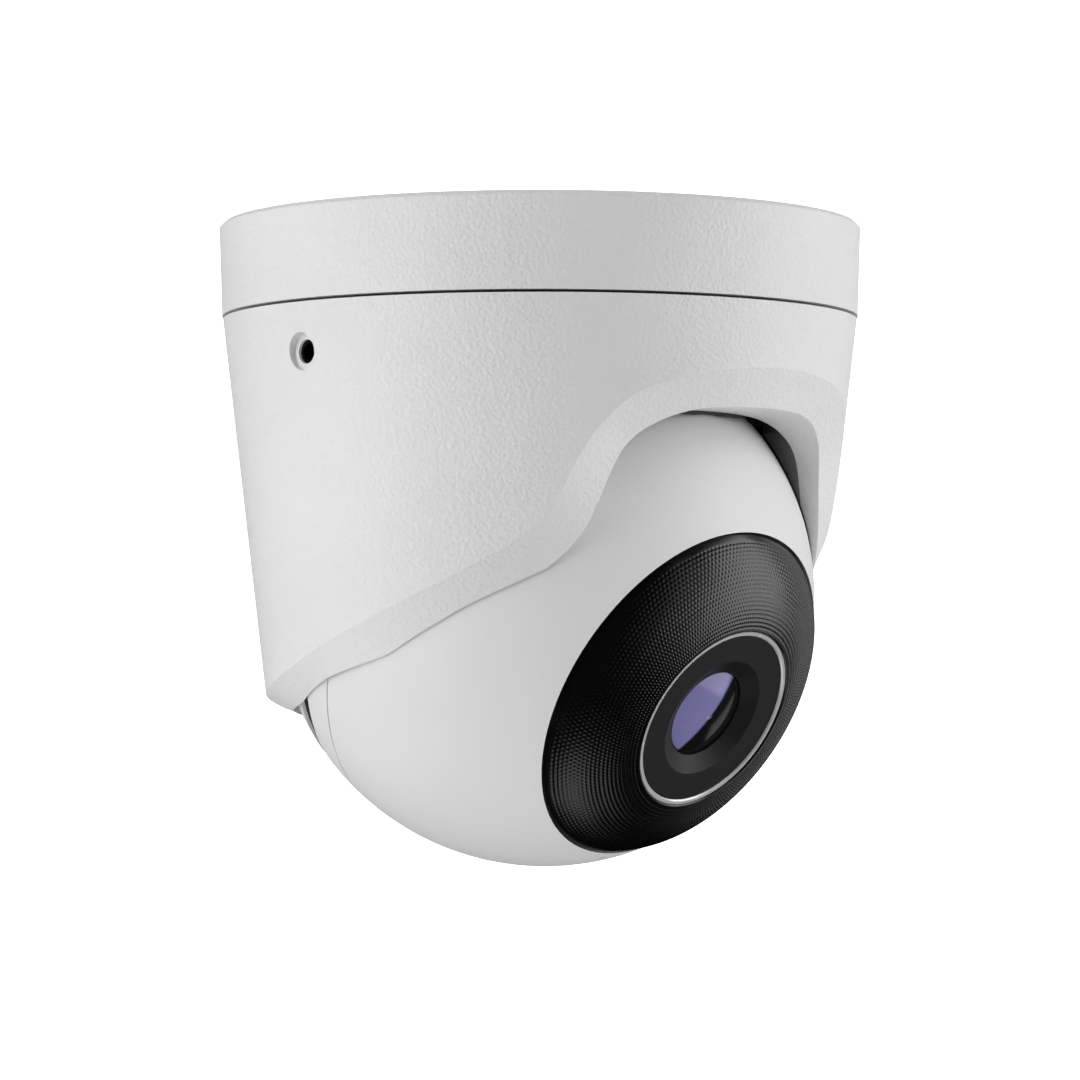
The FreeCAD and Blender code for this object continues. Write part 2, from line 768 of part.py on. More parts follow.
BRACKET_TOP = VALUES["visor_top"] + 1.3
BRACKET_FLANGE = 2.0
SEAT_OUTSIDE = 40.0
SEAT_FRONT = 33.0
CABLE_SLOT = 20.0
CHEEK_START = 20.0
CHEEK_BACK = 20.0
CHEEK_END = 51.0
FRONT_BAR_END = 33.95


def make_inner_bracket():
    """Top flange with a small bar at its front, spherical liner around the back and sides,
    and a cheek on each side that carries on the arch of the opening behind the visor; a slot
    lets the cable through."""
    inset = VALUES["cover_wall"] + 0.1
    behind_visor = beyond_visor(front=False, gap=0.05)
    inside_cover = cone_between(BRACKET_TOP, 82.6, inset).common(behind_visor)
    slot = Part.makeBox(CABLE_SLOT, 60, 60, Vector(-CABLE_SLOT / 2, 5, -72))
    pocket = Part.makeCylinder(SEAT_OUTSIDE + 0.05, 12, Vector(0, 0, -36)).cut(
        Part.makeBox(100, 20, 20, Vector(-50, -SEAT_FRONT - 20, -45)))
    liner = inside_cover.cut(opening_cutter(raised=1.6)).cut(rear_rim(clearance=0.1))
    liner = liner.cut(slot).cut(ball_space())
    liner = liner.common(Part.makeSphere(VALUES["ball_radius"] + 2.15, BALL_CENTRE))
    flange = cone_between(BRACKET_TOP, BRACKET_TOP + BRACKET_FLANGE, inset)
    flange = flange.cut(ball_space()).cut(slot).common(behind_visor)
    shape = liner.cut(pocket).fuse(flange.cut(pocket))
    bar = Part.makeBox(20.0, 2.5, FRONT_BAR_END - BRACKET_TOP,
                       Vector(-10, -VALUES["visor_plane"] + 0.15, -FRONT_BAR_END))
    shape = shape.fuse(bar.cut(ball_space()))
    for left in (-60, CHEEK_START):
        front = Part.makeBox(60 - CHEEK_START, 60 - CHEEK_BACK, CHEEK_END - BRACKET_TOP,
                             Vector(left, -60, -CHEEK_END))
        cheek = front.common(inside_cover).cut(opening_cutter()).cut(ball_space())
        shape = shape.fuse(cheek.cut(pocket))
    hole = Part.makeCylinder(1.3, 10, Vector(0, 0, -BRACKET_TOP - 5))
    for tool in at_bracket_screws(hole).Solids:
        shape = shape.cut(tool)
    solid = max(shape.Solids, key=lambda piece: piece.Volume)
    finish(code_part("inner_bracket", solid), "inner_bracket")


def make_bracket_screws():
    under = -(BRACKET_TOP + BRACKET_FLANGE)
    head = 1.1
    screw = screw_shape(1.85, head, 0.98, head + BRACKET_FLANGE + 2.4, False, 1.2)
    upright = screw.rotated(Vector(), Vector(1, 0, 0), 180)
    upright.translate(Vector(0, 0, under - head))
    finish(code_part("bracket_screws", at_bracket_screws(upright)), "bracket_screws")


def make_seat_ring():
    """Low-friction seat above the ball, open at the back where the cable passes."""
    body = new_body("seat_blank")
    revolve(body, [
        (34.0, -BRACKET_TOP),
        (SEAT_OUTSIDE, -BRACKET_TOP),
        (SEAT_OUTSIDE, -BRACKET_TOP - 3.4),
        (34.0, -BRACKET_TOP - 3.4),
    ])
    room = sphere("seat_room", dim("ball_radius") + dim("seat_gap"),
                  (0, -dim("ball_ahead"), -dim("ball_depth")))
    slot = block("seat_slot", (CABLE_SLOT, 60, 30), (0, 35, -50))
    in_front = block("seat_front", (100, 60, 30), (0, -SEAT_FRONT - 29.9, -50))
    finish(cut("seat_ring_cut", body, [room, slot, in_front]), "seat_ring")


def make_tilt_ring():
    """Ring in the ball's rear groove; the ball turns in it and it tilts with the ball."""
    body = new_body("tilt_ring")
    clear = 0.15
    revolve(body, [
        (dim("groove_floor") + clear, -dim("groove_front") - clear),
        (dim("groove_floor") + 3.5, -dim("groove_front") - clear),
        (dim("groove_floor") + 3.2, -dim("groove_back") + clear),
        (dim("groove_floor") + clear, -dim("groove_back") + clear),
    ])
    finish(body, "tilt_ring", LINE_OF_SIGHT)


# ---------------------------------------------------------------- ball shells

MIC_ANGLE = 44.6
MIC_BOOT_RADIUS = 2.9
LOOK_BACK = LINE_OF_SIGHT.multiply(Placement(Vector(), Rotation(Vector(1, 0, 0), 180)))


def mic_direction():
    """From the ball centre towards the microphone's slot, in the ball's own frame."""
    turn = math.radians(MIC_ANGLE)
    return Vector(0, -math.sin(turn), math.cos(turn))


def make_front_shell():
    """Ball skin, rebate for the bezel, flange for the lamp board and a tube for the window;
    posts for the main board and bosses for the shell screws stand inside."""
    body = new_body("front_shell")
    outside = dim("ball_radius")
    inside = dim("ball_radius") - dim("ball_wall")
    seam = -dim("shell_seam") + dim("seam_gap") * 0.5
    flange_back = dim("flange_face") - dim("flange_sheet")
    bezel_edge = dim("cap_radius") + 0.3
    tube_outside, tube_inside, tube_end = 15.4, 13.0, 39.4
    revolve(body, [
        (None, seam, outside),
        (bezel_edge, None),
        (bezel_edge, dim("flange_face")),
        (tube_outside, dim("flange_face")),
        (tube_outside, tube_end),
        (tube_inside, tube_end),
        (tube_inside, flange_back),
        (None, flange_back, inside),
        (None, seam),
    ])
    offset = dim("post_offset")
    posts = circles(body, "posts", [(offset * a, offset * b, 2.6) for a in (-1, 1) for b in (-1, 1)])
    lift(posts, dim("main_board_face"))
    pad_up(body, posts, flange_back - dim("main_board_face") + 0.5)
    boss = circles(body, "boss", [(dim("shell_screw_circle"), 0, 3.1)])
    lift(boss, seam)
    around(body, pad_up(body, boss, 22.8), 3)
    tap = Part.makeCylinder(1.0, 8.0, Vector(0, 0, VALUES["main_board_face"] - 0.1))
    taps = code_part("post_taps", at_corners(tap, VALUES["post_offset"]))
    boss_tap = Part.makeCylinder(1.2, 11, Vector(0, 0, -VALUES["shell_seam"]))
    boss_taps = code_part("boss_taps", ring_of(boss_tap, 3, VALUES["shell_screw_circle"]))
    slot = code_part("mic_slot", radial_slot())
    room = code_part("mic_room", along_mic(MIC_BOOT_RADIUS + 0.05, 37.5, inside.value - 0.1))
    finish(cut("front_shell_cut", body, [taps, boss_taps, slot, room]), "ball_front_shell",
           LINE_OF_SIGHT)


def along_mic(radius, start, end):
    """A cylinder on the microphone's line, between two distances from the ball centre."""
    return Part.makeCylinder(radius, end - start, mic_direction() * start, mic_direction())


def radial_slot():
    """Rounded slot, 1.7 by 0.8, through the ball's skin over the microphone."""
    half, radius, length = 0.45, 0.4, 8.0
    slot = Part.makeBox(2 * half, 2 * radius, length, Vector(-half, -radius, 0))
    for side in (-half, half):
        slot = slot.fuse(Part.makeCylinder(radius, length, Vector(side, 0, 0)))
    slot = slot.rotated(Vector(), Vector(1, 0, 0), MIC_ANGLE)
    return slot.translated(mic_direction() * (VALUES["ball_radius"] - length + 0.5))


def make_rear_shell():
    """Rear skin, drawn looking backwards: the tilt ring's groove, bosses for the shell
    screws with their recesses, and the hole for the cable gland."""
    body = new_body("rear_shell")
    outside = dim("ball_radius")
    inside = dim("ball_radius") - dim("ball_wall")
    seam = dim("shell_seam") + dim("seam_gap") * 0.5
    inner_groove = dim("groove_floor") - dim("groove_wall")
    revolve(body, [
        (None, seam, outside),
        (None, dim("groove_front")),
        (dim("groove_floor"), dim("groove_front")),
        (dim("groove_floor"), dim("groove_back")),
        (None, dim("groove_back"), outside),
        (0, None),
        (0, None, inside),
        (None, dim("groove_back") + dim("groove_wall")),
        (inner_groove, dim("groove_back") + dim("groove_wall")),
        (inner_groove, dim("groove_front") - dim("groove_wall")),
        (None, dim("groove_front") - dim("groove_wall"), inside),
        (None, seam),
    ])
    boss = circles(body, "boss", [(dim("shell_screw_circle"), 0, 4.0)])
    lift(boss, seam)
    around(body, pad_up(body, boss, 17.7), 3)
    hole = Part.makeCylinder(1.35, 20).fuse(Part.makeCylinder(2.7, 30, Vector(0, 0, SCREW_SEAT)))
    holes = code_part("shell_screw_holes", ring_of(hole, 3, VALUES["shell_screw_circle"]))
    gland = cylinder("gland_hole", GLAND_RADIUS, 10, (0, 0, 40))
    finish(cut("rear_shell_cut", body, [holes, gland]), "ball_rear_shell", LOOK_BACK)


def make_shell_seal():
    """Flat seal behind the seam, against the inside of both shells."""
    body = new_body("shell_seal")
    outside = dim("ball_radius") - dim("ball_wall") - 0.28
    half = 1.4
    revolve(body, [
        (outside - 1.3, -dim("shell_seam") - half),
        (outside, -dim("shell_seam") - half),
        (outside, -dim("shell_seam") + half),
        (outside - 1.3, -dim("shell_seam") + half),
    ])
    finish(body, "shell_seal", LINE_OF_SIGHT)


def make_shell_screws():
    head = 1.5
    screw = screw_shape(2.3, head, 1.18, 23.0, False, 1.6)
    screw.translate(Vector(0, 0, SCREW_SEAT + head))
    group = ring_of(screw, 3, VALUES["shell_screw_circle"])
    finish(code_part("shell_screws", group), "shell_screws", LOOK_BACK)


def make_cable_gland():
    body = new_body("cable_gland")
    bore, flange = 2.6, 6.5
    revolve(body, [
        (bore, 41.5),
        (flange, 41.5),
        (flange, 43.3),
        (GLAND_RADIUS - 0.05, 43.3),
        (GLAND_RADIUS - 0.05, 45.4),
        (3.6, 46.0),
        (bore, 46.0),
    ])
    finish(body, "cable_gland", LOOK_BACK)


SCREW_SEAT = 14.5
GLAND_RADIUS = 5.0


# ---------------------------------------------------------------- front cap and optics

def make_bezel():
    """Domed front cap: a steep outer flank, a crest and a shallow run to the chrome ring."""
    edge = VALUES["cap_radius"]
    rim = VALUES["cap_edge"]
    inner = VALUES["trim_outside"] + 0.05
    seat = VALUES["flange_face"] + 0.1
    crest = Vector(23.5, 0, 40.75)
    flank = Part.Arc(Vector(edge, 0, rim), Vector(27.6, 0, 37.95), crest).toShape()
    brow = Part.Arc(crest, Vector(20.2, 0, 42.15), Vector(inner, 0, 42.9)).toShape()
    rest = Part.makePolygon([
        Vector(inner, 0, 42.9), Vector(inner, 0, 39.5), Vector(17.6, 0, 39.5),
        Vector(22.8, 0, 38.6), Vector(28.4, 0, seat), Vector(edge, 0, seat),
        Vector(edge, 0, rim)])
    section = Part.Face(Part.Wire([flank, brow] + rest.Edges))
    shape = section.revolve(Vector(), Vector(0, 0, 1), 360)
    finish(code_part("bezel", shape), "bezel", LINE_OF_SIGHT)


def make_trim_ring():
    body = new_body("trim_ring")
    base = dim("window_face") - 1.4
    bevel = 0.2
    revolve(body, [
        (dim("trim_inside"), base),
        (dim("trim_outside"), base),
        (dim("trim_outside"), dim("trim_face") - bevel),
        (dim("trim_outside") - bevel, dim("trim_face")),
        (dim("trim_inside") + bevel, dim("trim_face")),
        (dim("trim_inside"), dim("trim_face") - bevel),
    ])
    finish(body, "trim_ring", LINE_OF_SIGHT)


def make_front_window():
    """Flat surround with a conical recess down to the lens."""
    body = new_body("front_window")
    bore = dim("lens_radius") + 0.15
    step = dim("window_face") - 1.45
    back = dim("window_face") - 2.95
    recess = dim("window_face") - dim("recess_depth")
    revolve(body, [
        (bore, back),
        (dim("trim_outside") - 0.05, back),
        (dim("trim_outside") - 0.05, step),
        (dim("trim_inside") - 0.05, step),
        (dim("trim_inside") - 0.05, dim("window_face")),
        (dim("recess_radius"), dim("window_face")),
        (bore + 0.15, recess),
        (bore, recess),
    ])
    finish(body, "front_window", LINE_OF_SIGHT)


def lens(name, radius, vertex, curve_radius, back, thickness):
    """A plano-convex lens: a rod cut by a sphere that passes through the vertex."""
    rod = cylinder(f"{name}_rod", radius, thickness, (0, 0, back))
    curve = sphere(f"{name}_curve", curve_radius, (0, 0, vertex - curve_radius))
    finish(common(f"{name}_common", rod, curve), name, LINE_OF_SIGHT)


def make_optics():
    lens("front_lens", dim("lens_radius"), 41.75, 25.7, 38.6, 4.0)
    lens("rear_lens", 4.55, 23.4, 9.0, 20.0, 4.0)
    barrel = new_body("lens_barrel")
    revolve(barrel, [
        (4.6, 19.4),
        (6.0, 19.4),
        (6.0, 30.0),
        (dim("lens_radius"), 30.0),
        (dim("lens_radius"), 38.55),
        (6.4, 38.55),
        (6.4, 36.0),
        (4.6, 34.0),
    ])
    finish(barrel, "lens_barrel", LINE_OF_SIGHT)
    holder = new_body("lens_holder")
    foot = dim("sensor_board_back") + dim("board_sheet")
    revolve(holder, [
        (5.7, foot),
        (10.5, foot),
        (10.5, foot + 1.6),
        (8.5, foot + 1.6),
        (8.5, 26.5),
        (6.05, 26.5),
        (6.05, 18.9),
        (4.3, 18.9),
        (4.3, 17.8),
        (5.7, 17.8),
    ])
    finish(holder, "lens_holder", LINE_OF_SIGHT)
    glass = box_on((-4, -4, 18.92), (4, 4, 19.37))
    finish(code_part("ir_filter", glass), "ir_filter", LINE_OF_SIGHT)
    chip = box_on((-3.6, -2.8, foot.value), (3.6, 2.8, foot.value + 1.0))
    finish(code_part("image_sensor", chip), "image_sensor", LINE_OF_SIGHT)


def box_on(low, high):
    """A plain block between two corners of the ball's frame."""
    return Part.makeBox(high[0] - low[0], high[1] - low[1], high[2] - low[2], Vector(*low))


# ---------------------------------------------------------------- boards and their parts

def make_boards():
    side = dim("sensor_board_side")
    square = block("sensor_board_blank", (side, side, dim("board_sheet")),
                   (0, 0, dim("sensor_board_back")))
    offset = dim("spacer_offset")
    holes = [cylinder(f"sensor_hole_{a}_{b}".replace("-", "m"), 0.9, 10, (offset * a, offset * b, 12))
             for a in (-1, 1) for b in (-1, 1)]
    finish(cut("sensor_board_cut", square, holes), "sensor_board", LINE_OF_SIGHT)
    disc = cylinder("main_board_blank", dim("main_board_radius"), dim("board_sheet"),
                    (0, 0, dim("main_board_face") - dim("board_sheet")))
    offset = dim("post_offset")
    holes = [cylinder(f"main_hole_{a}_{b}".replace("-", "m"), 1.3, 10, (offset * a, offset * b, 2))
             for a in (-1, 1) for b in (-1, 1)]
    finish(cut("main_board_cut", disc, holes), "main_board", LINE_OF_SIGHT)
    ring = new_body("led_board")
    face = dim("flange_face")
    revolve(ring, [
        (17.5, face),
        (26.0, face),
        (26.0, face + dim("board_sheet")),
        (17.5, face + dim("board_sheet")),
    ])
    finish(ring, "led_board", LINE_OF_SIGHT)
    height = VALUES["sensor_board_back"] - VALUES["main_board_face"]
    spacer = Part.makeCylinder(2.2, height, Vector(0, 0, VALUES["main_board_face"]))
    stud = Part.makeCylinder(0.85, 3.2, Vector(0, 0, VALUES["sensor_board_back"]))
    spacers = at_corners(spacer.fuse(stud), VALUES["spacer_offset"])
    finish(code_part("board_spacers", spacers), "board_spacers", LINE_OF_SIGHT)


def make_board_screws():
    head = 1.2
    start = SINK_BACK - head
    screw = screw_shape(1.9, head, 0.98, 13.2 - start, False, 1.2)
    upright = screw.rotated(Vector(), Vector(1, 0, 0), 180)
    upright.translate(Vector(0, 0, start))
    finish(code_part("board_screws", at_corners(upright, VALUES["post_offset"])), "board_screws",
           LINE_OF_SIGHT)


SINK_BACK = 0.9
SINK_FACE = 3.4


def make_heat_sink():
    """Finned plate behind the main board, on four feet around the board screws."""
    side = VALUES["sink_side"]
    plate = Part.makeBox(side, side, SINK_FACE - SINK_BACK, Vector(-side / 2, -side / 2, SINK_BACK))
    fin_height, fin_sheet, fin_length, pitch, fins = 9.0, 1.6, 40.0, 6.0, 7
    shape = plate
    for index in range(fins):
        middle = (index - (fins - 1) / 2) * pitch
        fin = Part.makeBox(fin_sheet, fin_length, fin_height + 0.2,
                           Vector(middle - fin_sheet / 2, -fin_length / 2, SINK_BACK - fin_height))
        shape = shape.fuse(fin)
    board_back = VALUES["main_board_face"] - VALUES["board_sheet"]
    foot = Part.makeCylinder(3.0, board_back - SINK_FACE + 0.5, Vector(0, 0, SINK_FACE - 0.5))
    hole = Part.makeCylinder(1.3, 20, Vector(0, 0, -5))
    shape = shape.fuse(at_corners(foot, VALUES["post_offset"]).Solids)
    shape = shape.cut(at_corners(hole, VALUES["post_offset"]))
    finish(code_part("heat_sink", shape.removeSplitter()), "heat_sink", LINE_OF_SIGHT)


def make_board_parts():
    """What stands on the boards, as far as such a camera needs it."""
    board_back = VALUES["main_board_face"] - VALUES["board_sheet"]
    face = VALUES["main_board_face"]
    chip_back = board_back - 1.5
    chip = box_on((-7, -7, chip_back), (7, 7, board_back))
    finish(code_part("processor_chip", chip), "processor_chip", LINE_OF_SIGHT)
    pad = box_on((-7, -7, SINK_FACE), (7, 7, chip_back))
    finish(code_part("thermal_pad", pad), "thermal_pad", LINE_OF_SIGHT)
    chips = Part.makeCompound([
        box_on((21.5, -5.5, face), (30.5, 5.5, face + 1.0)),
        box_on((-30.5, -5.5, face), (-21.5, 5.5, face + 1.0))])
    finish(code_part("memory_chips", chips), "memory_chips", LINE_OF_SIGHT)
    socket = box_on((-7.5, -31, face), (7.5, -16.5, face + 2.0))
    socket = socket.cut(box_on((-5.7, -32, face + 0.5), (5.7, -17.2, face + 1.5)))
    finish(code_part("card_socket", socket), "card_socket", LINE_OF_SIGHT)
    card = box_on((-5.5, -32.4, face + 0.55), (5.5, -17.4, face + 1.45))
    finish(code_part("memory_card", card), "memory_card", LINE_OF_SIGHT)
    header = box_on((-7, 22, face), (7, 28, face + 6))
    header = header.cut(box_on((-6, 23, face + 1), (6, 27, face + 7)))
    pins = [Part.makeBox(0.6, 0.6, 4.5, Vector(-5.3 + 2 * n, 24.7, face + 0.5)) for n in range(6)]
    finish(code_part("cable_header", header.fuse(pins)), "cable_header", LINE_OF_SIGHT)
    capsule = along_mic(2.4, 38.0, 40.2)
    finish(code_part("microphone", capsule), "microphone", LINE_OF_SIGHT)
    boot = along_mic(MIC_BOOT_RADIUS, 38.6, 43.7).cut(along_mic(2.45, 38.0, 40.25))
    boot = boot.cut(along_mic(0.9, 40, 44))
    finish(code_part("microphone_boot", boot), "microphone_boot", LINE_OF_SIGHT)
    base = VALUES["flange_face"] + VALUES["board_sheet"]
    lamp = Part.makeCylinder(1.6, 0.8, Vector(0, 0, base))
    dome = Part.makeSphere(1.3, Vector(0, 0, base + 0.8))
    lamp = lamp.fuse(dome.common(Part.makeCylinder(1.6, 4, Vector(0, 0, base + 0.2))))
    finish(code_part("ir_leds", ring_of(lamp, 6, 21.7)), "ir_leds", LINE_OF_SIGHT)


# ---------------------------------------------------------------- build, check, write

def check_everything():
    """Stop before writing if anything in the document failed."""
    for item in doc.Objects:
        if "Invalid" in item.State or "Error" in item.State:
            raise RuntimeError(f"{item.Name} ({item.Label}) failed: {item.State}")
    for item in PARTS:
        shape = item.Shape
        if shape.isNull() or not shape.isValid() or not shape.Solids:
            raise RuntimeError(f"{item.Label}: bad shape")


def write_steps():
    os.makedirs("parts", exist_ok=True)
    for item in PARTS:
        item.Shape.exportStep(os.path.join("parts", f"{item.Label}.step"))
        print(f"{item.Label}: {len(item.Shape.Solids)} solid(s), {item.Shape.Volume:.0f} mm3")


make_mounting_plate()
make_base_ring()
make_gasket()
make_grommet()
make_base_screws()
make_pan_ring()
make_pan_ring_screws()
make_friction_washer()
make_cover()
make_lock_screw()
make_inner_bracket()
make_bracket_screws()
make_seat_ring()
make_tilt_ring()
make_front_shell()
make_rear_shell()
make_shell_seal()
make_shell_screws()
make_cable_gland()
make_bezel()
make_trim_ring()
make_front_window()
make_optics()
make_boards()
make_board_screws()
make_heat_sink()
make_board_parts()
doc.recompute()
check_everything()
write_steps()
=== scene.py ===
import json
import math

import bpy
from mathutils import Matrix, Vector


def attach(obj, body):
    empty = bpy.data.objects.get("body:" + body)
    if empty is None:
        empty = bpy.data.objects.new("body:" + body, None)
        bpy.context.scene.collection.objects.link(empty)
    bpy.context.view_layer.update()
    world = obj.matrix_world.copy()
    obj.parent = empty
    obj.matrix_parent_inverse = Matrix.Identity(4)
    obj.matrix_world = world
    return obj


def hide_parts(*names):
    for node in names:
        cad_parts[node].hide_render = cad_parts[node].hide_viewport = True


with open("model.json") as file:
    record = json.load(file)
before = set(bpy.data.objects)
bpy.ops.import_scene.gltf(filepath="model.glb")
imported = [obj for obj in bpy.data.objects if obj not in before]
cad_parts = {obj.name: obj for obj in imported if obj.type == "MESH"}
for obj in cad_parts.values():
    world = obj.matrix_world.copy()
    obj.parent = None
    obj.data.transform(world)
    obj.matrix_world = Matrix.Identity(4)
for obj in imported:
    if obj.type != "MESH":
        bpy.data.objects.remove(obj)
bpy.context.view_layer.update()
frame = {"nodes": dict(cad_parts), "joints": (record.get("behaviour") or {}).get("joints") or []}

# Metres, in the part's own frame: +Z up to the ceiling, the front is -Y, the origin is the
# centre of the mounting face.

MM = 0.001
JOINTS = {joint["name"]: joint for joint in frame["joints"]}
BALL_CENTRE = Vector(JOINTS["roll"]["pos_m"])
SIGHT = Vector(JOINTS["roll"]["axis"]).normalized()
ACROSS = Vector((1, 0, 0))
BALL_FRAME = Matrix((ACROSS, SIGHT.cross(ACROSS), SIGHT)).transposed().to_4x4()
BALL_FRAME.translation = BALL_CENTRE


# ------------------------------------------------------------------ material helpers

# Sockets of the Mix node when it blends colours; several of them share a name.
MIX_FACTOR, MIX_A, MIX_B, MIX_RESULT = 0, 6, 7, 2


class Paint:
    """A node material with a Principled shader and short ways to add to it."""

    def __init__(self, name, **sockets):
        self.material = bpy.data.materials.new(name)
        self.material.use_nodes = True
        self.nodes = self.material.node_tree.nodes
        self.links = self.material.node_tree.links
        self.shader = next(n for n in self.nodes if n.type == "BSDF_PRINCIPLED")
        for socket, value in sockets.items():
            self.shader.inputs[socket.replace("_", " ")].default_value = value

    def node(self, kind, **settings):
        node = self.nodes.new(kind)
        for name, value in settings.items():
            if hasattr(node, name):
                setattr(node, name, value)
            else:
                node.inputs[name.replace("_", " ")].default_value = value
        return node

    def link(self, source, output, target, socket):
        self.links.new(source.outputs[output], target.inputs[socket])

    def object_space(self):
        return self.node("ShaderNodeTexCoord")

    def noise(self, scale, detail=3.0, roughness=0.55, stretch=None):
        """Noise over object space; scale is in cycles per metre."""
        noise = self.node("ShaderNodeTexNoise", Scale=scale, Detail=detail, Roughness=roughness)
        space = self.object_space()
        if stretch:
            mapping = self.node("ShaderNodeMapping", Scale=stretch)
            self.link(space, "Object", mapping, "Vector")
            self.link(mapping, "Vector", noise, "Vector")
        else:
            self.link(space, "Object", noise, "Vector")
        return noise

    def cells(self, scale, smooth=0.4):
        """Rounded cells over object space, for moulded grain."""
        cells = self.node("ShaderNodeTexVoronoi", feature="SMOOTH_F1", Scale=scale,
                          Smoothness=smooth)
        self.link(self.object_space(), "Object", cells, "Vector")
        return cells

    def spread(self, source, output, low, high):
        """Map 0..1 onto low..high."""
        spread = self.node("ShaderNodeMapRange")
        spread.inputs["To Min"].default_value = low
        spread.inputs["To Max"].default_value = high
        self.link(source, output, spread, "Value")
        return spread

    def colours(self, source, output, dark, light):
        """Blend two colours by a texture, into the base colour."""
        ramp = self.node("ShaderNodeValToRGB")
        ramp.color_ramp.elements[0].color = (*dark, 1)
        ramp.color_ramp.elements[1].color = (*light, 1)
        ramp.color_ramp.elements[0].position = 0.3
        ramp.color_ramp.elements[1].position = 0.7
        self.link(source, output, ramp, "Fac")
        self.link(ramp, "Color", self.shader, "Base Color")
        return ramp

    def plain_to_ramp(self, factor, output, plain_colour, ramp):
        """Base colour that goes from a plain colour to a ramp's as the factor rises."""
        blend = self.node("ShaderNodeMix", data_type="RGBA")
        self.link(factor, output, blend, MIX_FACTOR)
        blend.inputs[MIX_A].default_value = (*plain_colour, 1)
        self.link(ramp, "Color", blend, MIX_B)
        self.link(blend, MIX_RESULT, self.shader, "Base Color")

    def rough(self, source, output, low, high):
        """Roughness from a texture."""
        self.link(self.spread(source, output, low, high), "Result", self.shader, "Roughness")

    def bump(self, source, output, height, strength=1.0, under=None):
        """Bump of a real height in metres; `under` is an earlier bump to build on."""
        bump = self.node("ShaderNodeBump", Strength=strength, Distance=height)
        self.link(source, output, bump, "Height")
        if under:
            self.link(under, "Normal", bump, "Normal")
        self.link(bump, "Normal", self.shader, "Normal")
        return bump


def grey(value):
    """A neutral linear colour."""
    return (value, value, value)


# ------------------------------------------------------------------ materials

# The bracket's painted light: its cheeks are painted lighter grey from the first of these on,
# fully from the second.
PAINTED_LIGHT_FROM, PAINTED_LIGHT_FULL = 0.018, 0.030     # along X from the tilt plane, in metres
# Placing of the lens's painted reflection: a violet colour painted over one side of its face.
PAINTED_REFLECTION_TURN = math.radians(24.5)       # how far the side with the painted reflection leans off the tilt axis
PAINTED_REFLECTION_FADE = (-0.0006, 0.0002)        # where its edge starts and ends, in metres

def shell_white():
    """White moulded plastic with a fine leather grain."""
    paint = Paint("grained_white", Specular_IOR_Level=0.35)
    grain = paint.cells(1500.0, 0.6)
    fine = paint.noise(2600.0, 4.0)
    broad = paint.noise(35.0, 2.0)
    paint.colours(broad, "Fac", grey(0.70), grey(0.73))
    paint.rough(fine, "Fac", 0.42, 0.62)
    first = paint.bump(grain, "Distance", 0.00015, 0.8)
    paint.bump(fine, "Fac", 0.00006, 0.6, first)
    return paint.material


def ball_white():
    """Smooth satin white."""
    paint = Paint("satin_white", Specular_IOR_Level=0.35)
    broad = paint.noise(30.0, 2.0)
    fine = paint.noise(5200.0, 2.0)
    paint.colours(broad, "Fac", grey(0.71), grey(0.73))
    paint.rough(broad, "Fac", 0.42, 0.5)
    paint.bump(fine, "Fac", 0.000008, 0.5)
    return paint.material


def bezel_black():
    """Glossy black; it shows only what it reflects."""
    paint = Paint("gloss_black", Specular_IOR_Level=0.5)
    broad = paint.noise(60.0, 3.0)
    paint.colours(broad, "Fac", grey(0.0015), grey(0.003))
    paint.rough(broad, "Fac", 0.20, 0.27)
    return paint.material


def window_black():
    """Satin black of the flat lens surround."""
    paint = Paint("window_black", Specular_IOR_Level=0.22)
    fine = paint.noise(3000.0, 2.0)
    paint.colours(fine, "Fac", grey(0.007), grey(0.009))
    paint.rough(fine, "Fac", 0.42, 0.5)
    paint.bump(fine, "Fac", 0.000006, 0.4)
    return paint.material


def frame_black_with_painted_light():
    """Matt moulded black, deepest near the tilt plane; the cheeks are painted lighter grey as
    painted light.
    """
    paint = Paint("moulded_black_painted_light", Specular_IOR_Level=0.35)
    fine = paint.noise(1800.0, 3.0)
    apart = paint.node("ShaderNodeSeparateXYZ")
    paint.link(paint.object_space(), "Object", apart, "Vector")
    sideways = paint.node("ShaderNodeMath", operation="ABSOLUTE")
    paint.link(apart, "X", sideways, 0)
    # Mask of the painted light: 0 near the tilt plane, 1 on the cheeks.
    painted_light_mask = paint.node("ShaderNodeMapRange", interpolation_type="SMOOTHSTEP")
    painted_light_mask.inputs["From Min"].default_value = PAINTED_LIGHT_FROM
    painted_light_mask.inputs["From Max"].default_value = PAINTED_LIGHT_FULL
    paint.link(sideways, "Value", painted_light_mask, "Value")
    # Lighter greys painted on the cheeks as painted light.
    painted_light_greys = paint.colours(fine, "Fac", grey(0.22), grey(0.26))
    paint.plain_to_ramp(painted_light_mask, "Result", grey(0.012), painted_light_greys)
    paint.rough(fine, "Fac", 0.5, 0.65)
    paint.bump(fine, "Fac", 0.00003, 0.5)
    return paint.material


def chrome():
    """Brushed bright ring, half metal and half paint in its look."""
    paint = Paint("chrome", Metallic=0.4)
    fine = paint.noise(90.0, 2.0)
    paint.colours(fine, "Fac", grey(0.60), grey(0.63))
    paint.rough(fine, "Fac", 0.26, 0.29)
    return paint.material


def metal(name, dark, light, low, high, turned=(1, 1, 60)):
    """Drawn or turned metal with fine lines."""
    paint = Paint(name, Metallic=1.0)
    lines = paint.noise(160.0, 3.0, stretch=turned)
    paint.colours(lines, "Fac", dark, light)
    paint.rough(lines, "Fac", low, high)
    paint.bump(lines, "Fac", 0.00001, 0.4)
    return paint.material


def plain(name, dark, light, low, high, grain=1500.0, height=0.00003):
    """Moulded plastic, rubber or board surface."""
    paint = Paint(name)
    fine = paint.noise(grain, 3.0)
    paint.colours(fine, "Fac", dark, light)
    paint.rough(fine, "Fac", low, high)
    paint.bump(fine, "Fac", height, 0.5)
    return paint.material


